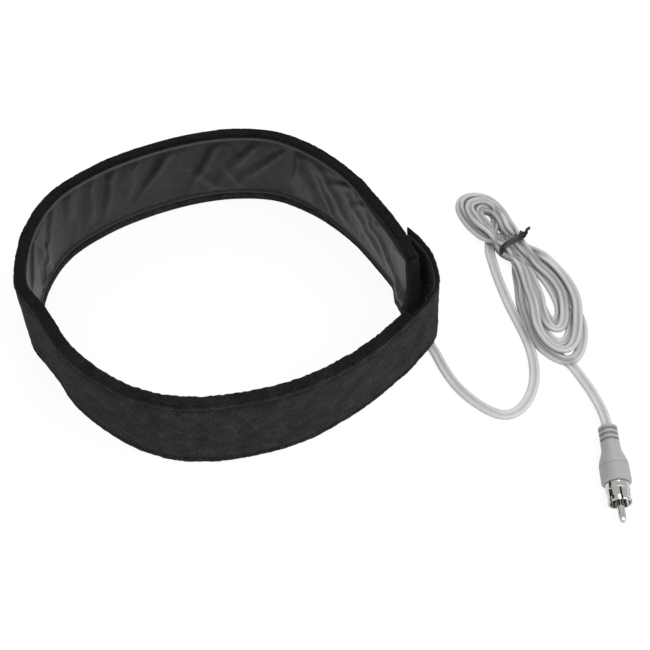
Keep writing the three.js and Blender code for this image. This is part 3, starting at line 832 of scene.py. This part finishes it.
FACE_ROWS = 52
COVER_STATIONS = 620
TAB_STATIONS = 90
TAB_BACK_ROWS = 20
EDGE_FADE = 0.001
PILE_FINE, PILE_FINE_PITCH = 0.00016, 0.0011
PILE_BROAD, PILE_BROAD_PITCH = 0.00022, (0.007, 0.009)
GROOVE_DEPTH = 0.00055
HEM_PUFF = 0.0003
FACE_PUFF = 0.00025
EDGE_ROUND = 0.0007
HEM_ROUGH, HEM_ROUGH_PITCH = 0.00018, 0.0013
HEM_WAVE, HEM_WAVE_PITCH = 0.00035, 0.014
HEM_WAVE_BELOW = 0.021
HEM_SWELL_FROM = 0.0015

# Depths of the section's points over the top edge and under the foot, and what they lie off the edge
TOP_FOLD = (0.001, 0.002, 0.003, 0.0039, HEM_FACE, THICKNESS - 0.0002, THICKNESS)
TOP_FOLD_DROP = (0.0001, 0, 0, 0, 0.0001, 0.0004, 0.0009)
TOP_INNER = (THICKNESS, THICKNESS - 0.0003, HEM_FACE)
FOOT_INNER = (HEM_FACE, THICKNESS - 0.0003, THICKNESS, THICKNESS + 0.0001, THICKNESS)
FOOT_INNER_SHARE = (0.96, 1, 0.9, 0.6, 0.3)
FOOT_FOLD = (THICKNESS - 0.0005, 0.0042, 0.0032, 0.0022, 0.0012)
FOOT_FOLD_RISE = (0.0005, 0.0003, 0.0003, 0.0003, 0.0003)

# Rings of the closed end: how far along the strip, and how far in from its outline
END_RINGS = (
    (0.0024, 0.0), (0.001, 0.0), (0.0, 0.0001), (-0.0006, 0.0004), (-0.001, 0.0011), (-0.0011, 0.002),
)
END_SQUARE = 0.22
END_BULGE, END_BULGE_TOP, END_BULGE_FADE = 0.003, 0.032, 0.018
END_ROUGH, END_ROUGH_PITCH = 0.00035, 0.0012
END_LOWEST = 0.0003


def squared(wave, power):
    """A sine or cosine pushed toward its ends, for an outline between a circle and a square."""
    return np.sign(wave) * np.abs(wave) ** power


def pile_relief(s, height):
    """Small uneven relief of the brushed loops."""
    fine = value_noise(s / PILE_FINE_PITCH, height / PILE_FINE_PITCH, 3)
    broad = value_noise(s / PILE_BROAD_PITCH[0], height / PILE_BROAD_PITCH[1], 5)
    return PILE_FINE * fine + PILE_BROAD * broad


def outer_profile(height, foot):
    """Depth of the outer face at a height: rounded edges and two sewn grooves."""
    from_edge = np.minimum(height - foot, STRIP_WIDTH - height)
    groove = GROOVE_DEPTH * dome(from_edge - SEAM_INSET, 0.00055)
    puff = -HEM_PUFF * np.sin(np.pi * np.clip(from_edge / SEAM_INSET, 0, 1))
    body = -FACE_PUFF * smooth((from_edge - SEAM_INSET) / 0.004)
    edge = EDGE_ROUND * (1 - smooth(from_edge / 0.0011))
    return groove + puff + body + edge


def outer_face(s, up, foot):
    """Points of the outer face, with the pile fading out at its edges."""
    edge = smooth(np.minimum(up - foot, STRIP_WIDTH - up) / EDGE_FADE)
    return strip_point(s, outer_profile(up, foot) + pile_relief(s, up) * edge, up)


def top_hem(s):
    """Depth of the hem at the top of the inner face, which widens toward the lined end."""
    return TOP_HEM + 0.0048 * smooth((0.055 - s) / 0.03) - 0.0025 * smooth((0.012 - s) / 0.012)


def foot_hem(s):
    """Depth of the hem at the foot, which narrows toward the lined end."""
    return FOOT_HEM - 0.0036 * smooth((0.085 - s) / 0.035)


def hem_band(s, depths, heights, swell):
    """Points of a fold or hem, roughened by the pile and waved along the seam."""
    d, h = np.array(depths)[None], np.atleast_2d(heights)
    rough = HEM_ROUGH * value_noise(s / HEM_ROUGH_PITCH, (d + h) / HEM_ROUGH_PITCH, 11)
    wave = HEM_WAVE * value_noise(s / HEM_WAVE_PITCH, 0.5, 17)
    waved = np.abs(h - STRIP_WIDTH / 2) < HEM_WAVE_BELOW
    return strip_point(s, d + swell * (d > HEM_SWELL_FROM) + rough, h + rough + wave * waved)


def cover_rings(stations):
    """The folded cover of the lined part: outer face, fold, inner hem and back, on both edges."""
    s = stations[:, None]
    hem, w = top_hem(s), STRIP_WIDTH
    swell = mouth(stations, 0.0)[:, None]
    outer = outer_face(s, np.linspace(0.0, w, FACE_ROWS)[None], 0.0)
    over_top = w + np.concatenate([0 * s - TOP_FOLD_DROP, -0.7 * hem, -hem, 0.0002 - hem], 1)
    top = hem_band(s, (*TOP_FOLD, *TOP_INNER), over_top, 0.0)
    inside_top = hem_band(s, (HEM_FACE, CLOTH), (w - CLOTH, w - CLOTH), 0.0)
    inside_foot = hem_band(s, (CLOTH, HEM_FACE), (CLOTH, CLOTH), swell)
    under_foot = np.concatenate([foot_hem(s) * FOOT_INNER_SHARE, 0 * s + FOOT_FOLD_RISE], 1)
    foot = hem_band(s, (*FOOT_INNER, *FOOT_FOLD), under_foot, swell)
    return np.concatenate([outer, top, inside_top, inside_foot, foot], 1)[:, ::-1]


def end_fold():
    """Closed, folded end of the lined part, with a soft bulge toward the tab near its foot."""
    around = circle(120)
    x, z = squared(np.cos(around), END_SQUARE), squared(np.sin(around), END_SQUARE)
    along = np.array([*STRIP.heading(LINED_END), 0.0])
    rings = []
    for back, inset in END_RINGS:
        height = STRIP_WIDTH / 2 + (STRIP_WIDTH / 2 - inset - 0.0001) * z
        fade = smooth((END_BULGE_TOP - height) / END_BULGE_FADE)
        bulge = END_BULGE * fade * smooth((0.003 - back) / 0.002)
        low, high = inset - bulge, THICKNESS + mouth(0.0, height) - inset + 0.0001
        depth = (low + high) / 2 + (high - low) / 2 * x
        rough = END_ROUGH * value_noise(depth / END_ROUGH_PITCH + back * 900, height / END_ROUGH_PITCH, 61)
        at = strip_point(0.0 * depth, depth, np.maximum(height + rough, END_LOWEST))
        rings.append(at + along * (back + rough[:, None]))
    return np.array(rings)[::-1]


def tab_rings(stations):
    """The bare tab, one cloth thick, whose foot lifts off the floor past the lined part."""
    s = stations[:, None]
    foot = (TAB_LIFT * smooth((stations - LINED) / TAB_LIFT_RUN))[:, None]
    up = foot + (STRIP_WIDTH - foot) * np.linspace(0, 1, FACE_ROWS)[None]
    down = foot + (STRIP_WIDTH - foot) * np.linspace(1, 0, TAB_BACK_ROWS)[None]
    rough = 0.00015 * value_noise(s / 0.002, down / 0.002, 21)
    return np.concatenate([outer_face(s, up, foot), strip_point(s, CLOTH + rough, down)], 1)[:, ::-1]


def cover():
    main = cover_rings(np.linspace(0.0, LINED, COVER_STATIONS))
    tab = tab_rings(np.linspace(LINED, STRIP.length, TAB_STATIONS))
    piece = new_piece("cover_cloth", merge([main, tab, end_fold()]), PILE, "loop_pile", "outer_cover")
    return piece


# The lining: thin nylon, puckered into the hems

LINING_EDGE = 0.0014
LINING_ROWS = 72
SWELL = 0.0006
FOLD_LOWEST, FOLD_HIGHEST = -0.0005, 0.0024

# Folds that the photo shows: two ends as (along, height), half width, and swell, below nought for a dip
SEEN_FOLDS = (
    ((0.185, 0.042), (0.1927, 0.0128), 0.0022, -0.0016),
    ((0.1815, 0.042), (0.189, 0.015), 0.0024, 0.0012),
    ((0.1558, 0.042), (0.1734, 0.0173), 0.002, -0.0017),
    ((0.1525, 0.042), (0.17, 0.019), 0.0026, 0.0012),
    ((0.132, 0.042), (0.1467, 0.0145), 0.0021, -0.0016),
    ((0.1285, 0.042), (0.143, 0.017), 0.0024, 0.0011),
    ((0.1187, 0.042), (0.1203, 0.0325), 0.0012, -0.0014),
    ((0.0919, 0.044), (0.0933, 0.007), 0.004, -0.0014),
    ((0.086, 0.043), (0.085, 0.008), 0.003, 0.0012),
    ((0.2369, 0.043), (0.2534, 0.0232), 0.0016, 0.0013),
    ((0.228, 0.0272), (0.2379, 0.007), 0.0016, 0.0013),
    ((0.0736, 0.038), (0.0542, 0.009), 0.003, 0.0011),
    ((0.056, 0.033), (0.029, 0.012), 0.0034, 0.001),
    ((0.04, 0.033), (0.012, 0.009), 0.003, 0.001),
)


# Long folds, then short puckers: first place, clearance at the end, share at the top, mean and spread
# of the slant, limits of length, width, height and step
FOLD_KINDS = (
    (0.012, 0.01, 0.72, (0.35, 0.35), (0.014, 0.034), (0.0016, 0.0034), (0.0006, 0.0015), (0.007, 0.016)),
    (0.006, 0.006, 0.6, (0, 0.3), (0.004, 0.011), (0.0008, 0.0014), (0.0002, 0.0005), (0.002, 0.0048)),
)


def random_folds():
    """Start along the seam, top or foot, slant, length, width and height of each fold."""
    rng = np.random.default_rng(23)
    folds = []
    for s, margin, at_top, slant, length, width, height, step in FOLD_KINDS:
        while s < LINED - margin:
            top = rng.random() < at_top
            lean = rng.normal(*slant)
            folds.append((s, top, lean, *(rng.uniform(*ends) for ends in (length, width, height))))
            s += rng.uniform(*step)
    return folds


def seen_fold(s, up, start, end, width, height):
    """Relief of one fold between two places of the lining."""
    run = np.array(end) - start
    length = np.linalg.norm(run)
    share = ((s - start[0]) * run[0] + (up - start[1]) * run[1]) / length ** 2
    off = ((s - start[0]) * run[1] - (up - start[1]) * run[0]) / length
    return height * dome(off, width) * smooth((share + 0.08) / 0.12) * smooth((1.15 - share) / 0.4)


def seam_fold(s, away, start, slant, length, width, height):
    """Relief of one fold that starts at a seam and opens out with the distance from it."""
    off = (s - start) - slant * away
    along = np.clip(away / length, 0, 1)
    spread = width * (0.7 + 0.8 * along)
    ridge = dome(off, spread) - 0.35 * dome(off - 1.7 * spread, 1.2 * spread)
    rise = np.sin(np.pi * np.clip(along * 0.92 + 0.04, 0, 1)) ** 0.7
    return height * ridge * rise * (away > -0.002)


def lining_relief(s, up):
    """How far the lining swells out between its hems."""
    low, high = FOOT_HEM - 0.0004, STRIP_WIDTH - TOP_HEM + 0.0004
    rise = np.clip((up - low) / (high - low), 0, 1)
    total = SWELL * value_noise(s / 0.019 + up / 0.05, up / 0.03, 31) * np.sin(np.pi * rise) ** 0.6
    for fold in SEEN_FOLDS:
        total = total + seen_fold(s, up, *fold)
    for start, top, *shape in random_folds():
        away = (high - up) if top else (up - low)
        total = total + seam_fold(s, away, start, *shape)
    return np.clip(total * smooth(rise * 12) * smooth((1 - rise) * 12), FOLD_LOWEST, FOLD_HIGHEST)


def lining():
    """The lining with an edge rolled against each hem, marked with a painted highlight where that edge would
    catch the light.
    """
    stations = np.linspace(CUT_BACK, LINED - CUT_BACK, COVER_STATIONS)
    rows = np.linspace(LINING_EDGE, STRIP_WIDTH - LINING_EDGE, LINING_ROWS)
    s, up = stations[:, None], rows[None]
    below, above = STRIP_WIDTH - top_hem(s) - up, up - foot_hem(s)
    rolled = 0.0013 * dome(below - 0.0008, 0.0009) + 0.0011 * dome(above - 0.0009, 0.0009)
    shown = smooth((below + 0.0003) / 0.0007) * smooth((above + 0.0003) / 0.0007)
    calm = smooth((below - 0.0008) / 0.005) * smooth((above - 0.0008) / 0.004)
    raised = (0.0003 + lining_relief(s, up)) * calm + rolled
    depth = LINING_DEPTH + raised * shown + mouth(s, up)
    front = strip_point(s, depth + LINING_THICKNESS, up)
    back = strip_point(s, depth[:, ::-1], up[:, ::-1])
    skin = loft(np.concatenate([front, back], 1))
    piece = new_piece("lining_cloth", skin, NYLON, "nylon_lining", "lining")
    # Painted highlight: a lighter band along the rolled edge under the top hem, and a weaker one along the
    # edge over the foot hem, away from the lined end
    painted_highlight = dome(below - 0.0007, 0.0006) + 0.7 * dome(above - 0.0006, 0.0005) * smooth((s - 0.07) / 0.03)
    mark(piece, "fold", np.concatenate([painted_highlight, painted_highlight[:, ::-1]], 1))
    return piece


# Wadding and hook tape

WADDING_START = 0.041
WADDING_FACES = (0.00245, 0.00145)
WADDING_LUMP, WADDING_LUMP_PITCH = 0.00012, 0.004
TAPE_FACE, TAPE_BACK = 0.0019, 0.0013
TAPE_INSET = 0.0015
HOOK_PITCH = 0.0013
HOOK_LEAN = 0.00035
# Depth, share of the lean and half width of a hook, from its root to its tip
HOOK_RINGS = ((0.0019, 0, 0.00022), (0.0024, 0, 0.00018), (0.0026, 0.6, 0.00016), (0.00245, 1.3, 0.0001))


def wadding():
    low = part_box("insulation")[0][2]
    s = np.linspace(WADDING_START, LINED - CUT_BACK, 150)[:, None]
    up = (low + (STRIP_WIDTH - 2 * low) * np.linspace(0, 1, 9))[None]
    sides = []
    for depth, seed, rows in zip(WADDING_FACES, (41, 43), (up, up[:, ::-1])):
        lumps = value_noise(s / WADDING_LUMP_PITCH, up / WADDING_LUMP_PITCH, seed)
        sides.append(strip_point(s, depth + WADDING_LUMP * lumps, rows))
    skin = loft(np.concatenate(sides, 1))
    piece = new_piece("wadding_pad", skin, WADDING, "foam", "insulation")
    return piece


def hook(at, height, lean):
    """Rings of one bent hook that stands on the tape's face."""
    rings = []
    for depth, share, size in HOOK_RINGS:
        corners = ((size, 0), (0, size), (-size, 0), (0, -size))
        rings.append([strip_point(at + along, depth, height + lean * share + up) for along, up in corners])
    return np.array(rings)


def hook_tape():
    """Tape with a field of small bent hooks on its free face."""
    low, high = (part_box("hook_tape")[k][2] for k in (0, 1))
    first, last = LINED + TAPE_INSET, STRIP.length - TAPE_INSET
    s = np.linspace(first, last, 60)[:, None]
    up = np.linspace(low, high, 14)[None]
    parts = [np.concatenate([strip_point(s, TAPE_FACE, up), strip_point(s, TAPE_BACK, up[:, ::-1])], 1)]
    rng = np.random.default_rng(5)
    for i in range(int((last - first) / HOOK_PITCH)):
        for j in range(int((high - low) / HOOK_PITCH)):
            at = first + (i + 0.5 + 0.5 * (j % 2) * 0.8) * HOOK_PITCH + rng.normal(0, 0.00008)
            height = low + (j + 0.5) * HOOK_PITCH + rng.normal(0, 0.00008)
            lean = rng.choice((-1, 1)) * HOOK_LEAN
            if at <= last - 0.0008:
                parts.append(hook(at, height, lean))
    return new_piece("hook_field", merge(parts), HOOKS, "hook_tape", "hook_tape")


# The tie: a flat plastic-covered wire round the strands, its two ends twisted together

BAND_STEPS = 64
BAND_HALF, BAND_THICK, BAND_CORE = 0.0015, 0.0004, 0.0005
END_STEPS = 40
END_START, END_REACH = TIE_HALF_SPAN - 0.0022, 0.0066
END_TURNS, TWIST_STOP = 6.0, 0.75
END_HALF, END_THICK = 0.0013, 0.0007


def tie_band(centre):
    rings = []
    for angle in circle(BAND_STEPS) + 0.35:
        x, z = squared(math.cos(angle), 0.7), squared(math.sin(angle), 0.7)
        at = centre + TIE_AXIS * TIE_HALF_SPAN * x + UP * TIE_HALF_HEIGHT * z
        out = unit(TIE_AXIS * x + UP * z)
        ring = []
        for turn in circle(12):
            flat = BAND_HALF * math.cos(turn)
            thick = BAND_THICK * math.sin(turn) * (1 + 0.9 * dome(flat, BAND_CORE))
            ring.append(at + TIE_ALONG * flat + out * thick)
        rings.append(ring)
    return np.array(rings)


def tie_end(centre, phase):
    """One of the two twisted ends, which part from each other past the twist."""
    rings = []
    for t in np.linspace(0, 1, END_STEPS):
        spread = 0.0009 + 0.0012 * smooth((t - 0.5) / 0.5)
        turn = phase + END_TURNS * min(t, TWIST_STOP)
        aside = spread * math.cos(turn) - 0.0012
        rise = 0.003 + 0.0006 * t + spread * math.sin(turn)
        at = centre + TIE_AXIS * (END_START + END_REACH * t) + TIE_ALONG * aside + UP * rise
        flat = TIE_ALONG * math.cos(turn) + UP * math.sin(turn)
        thin = UP * math.cos(turn) - TIE_ALONG * math.sin(turn)
        flat, thin = flat * END_HALF, thin * END_THICK
        rings.append([at + flat * math.cos(a) + thin * math.sin(a) for a in circle(10)])
    return np.array(rings)[:, ::-1]


def tie():
    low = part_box("twist_tie")[0][2]
    centre = np.array([*TIE_CENTRE, low + TIE_HALF_HEIGHT + TIE_OFF_FLOOR]) + SHIFT
    ends = [tie_end(centre, phase) for phase in (0.0, math.pi)]
    return new_piece("tie_wire", merge(ends, [tie_band(centre)]), TIE, "tie", "twist_tie")


# The plug

def plug_axis():
    """Cord end of the plug and the way to its pin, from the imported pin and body."""
    body, pin = np.array(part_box("plug_body")), np.array(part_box("centre_pin"))
    way = np.array([math.sin(PLUG_YAW), -math.cos(PLUG_YAW), 0.0])
    middle = pin.mean(0)
    reach = (pin[0][1] - body[1][1]) / way[1]
    beyond = reach - (middle[1] - body[1][1]) / way[1]
    tip = np.array([middle[0] + way[0] * beyond, pin[0][1], middle[2]])
    return tip - way * reach, way


PLUG_START, PLUG_WAY = plug_axis()
PLUG_SIDE = np.cross(PLUG_WAY, UP)


def rounded(profile, reach, steps=4):
    """Profile with each corner taken off by a small arc."""
    out = [profile[0]]
    for a, b, c in zip(profile, profile[1:], profile[2:]):
        a, b, c = (np.array(v, float) for v in (a, b, c))
        before, after = np.linalg.norm(b - a), np.linalg.norm(c - b)
        cut = min(reach, 0.45 * before, 0.45 * after)
        p, q = b + (a - b) * cut / before, b + (c - b) * cut / after
        for t in np.linspace(0, 1, steps + 1):
            out.append(tuple((1 - t) ** 2 * p + 2 * t * (1 - t) * b + t * t * q))
    out.append(profile[-1])
    return out


def turned(profile, count):
    """Rings round the plug's axis for a profile of (distance along the plug, radius)."""
    angle = circle(count)
    out = np.outer(np.cos(angle), PLUG_SIDE) + np.outer(np.sin(angle), UP)
    return np.array([PLUG_START + PLUG_WAY * along + radius * out for along, radius in profile])


def swept(section, angles):
    """Copies of a section of (distance along the plug, radius) at angles about its axis."""
    rings = []
    for angle in angles:
        out = math.cos(angle) * PLUG_SIDE + math.sin(angle) * UP
        rings.append([PLUG_START + PLUG_WAY * along + out * radius for along, radius in section])
    return np.array(rings)


def plug_body():
    """Grip with a ribbed relief, a soft shoulder and a barrel with a fine parting groove."""
    relief, barrel = RELIEF_RADIUS, BARREL_RADIUS
    profile = [(0, 0.00001), (0, relief - 0.0008), (0.0004, relief)]
    rib, gap, cut = (RELIEF_END - 0.0012) / 3.5, 0.0011, 0.0015
    for start in ((k + 0.62) * rib for k in range(3)):
        profile += [(start, relief), (start, relief - cut)]
        profile += [(start + gap, relief - cut), (start + gap, relief)]
    profile.append((RELIEF_END, relief))
    for t in (k / 12 for k in range(1, 12)):
        along = RELIEF_END + (BARREL_START - RELIEF_END) * t
        profile.append((along, relief + (barrel - relief) * float(smooth(t))))
    profile += [
        (BARREL_START - 0.0005, barrel - 0.0001), (BARREL_START - 0.0002, barrel - 0.0005),
        (BARREL_START + 0.0003, barrel), (BARREL_END - 0.0007, barrel), (BARREL_END, barrel - 0.0008),
        (BARREL_END, 0.00001),
    ]
    skin = loft(turned(rounded(profile, 0.00025), 72))
    return new_piece("plug_moulding", skin, GRIP, "plug_grip", "plug_body")


def plug_shell():
    """Slotted collar: a plain ring, then petals with gaps between, each bowed a little."""
    foot, end, outer, inner = SHELL_START, SHELL_END, SHELL_RADIUS, SHELL_RADIUS - SHELL_WALL
    collar = foot + 0.0024
    ring = [(foot, inner), (foot, outer), (collar + 0.0006, outer), (collar + 0.0006, inner), (foot, inner)]
    petal = [
        (collar, inner), (collar, outer - 0.00005), (collar + 0.001, outer - 0.0003),
        (end - 0.0022, outer - 0.0004), (end - 0.0007, outer), (end, outer - 0.0002), (end, inner),
        (collar, inner),
    ]
    hoop = swept(rounded(ring, 0.0002)[:-1], circle(72))
    half = math.pi / PETALS - PETAL_GAP / 2 / outer
    middles = [2 * math.pi * k / PETALS for k in range(PETALS)]
    section = rounded(petal, 0.0002)[:-1]
    petals = [swept(section, np.linspace(middle - half, middle + half, 12)) for middle in middles]
    return new_piece("plug_collar", merge(petals, [hoop]), NICKEL, "nickel", "plug_shell")


def plug_disc():
    """Insulating ring between collar and pin."""
    foot, top, inner, outer = SHELL_START, SHELL_START + 0.0026, 0.0019, 0.004
    ring = [
        (foot, inner), (foot, outer), (top - 0.0003, outer), (top, outer - 0.0004), (top, inner),
        (foot, inner),
    ]
    skin = loft(turned(rounded(ring, 0.0001)[:-1], 64), hoop=True)
    return new_piece("plug_disc", skin, DIELECTRIC, "dielectric", "plug_insulator")


def plug_pin():
    tip = [
        (SHELL_START, 0.00001), (SHELL_START, PIN_RADIUS), (PIN_END - 0.003, PIN_RADIUS),
        (PIN_END - 0.0018, 0.00148), (PIN_END - 0.0009, 0.00118), (PIN_END - 0.0003, 0.0007),
        (PIN_END, 0.00001),
    ]
    return new_piece("plug_pin", loft(turned(rounded(tip, 0.0003), 40)), NICKEL, "nickel", "centre_pin")


def cad_finishes():
    """Materials of the frame's own nodes that stay."""
    finishes = {
        "heating_wire": WIRE, "crimp_lower": TINNED, "crimp_upper": TINNED, "sleeve_lower": SLEEVE,
        "sleeve_upper": SLEEVE, "conductor_lower": CORD, "conductor_upper": CORD,
    }
    for name, finish in finishes.items():
        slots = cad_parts[name].data.materials
        slots.clear()
        slots.append(finish)


place_camera()
place_lamps()
background()
cord_piece, cord_path, cord_length = free_cord()
plug = [plug_body(), plug_shell(), plug_disc(), plug_pin()]
tie_piece = tie()
tuple(strip_point(LINED_END, CORD_DEPTH, CORD_HEIGHT))
cloths = [cover(), lining(), wadding(), hook_tape()]
for piece in (cord_piece, tie_piece, *plug, *cloths):
    fix_normals(piece.data)
for piece in plug:
    piece.data.set_sharp_from_angle(angle=math.radians(40))
cad_finishes()
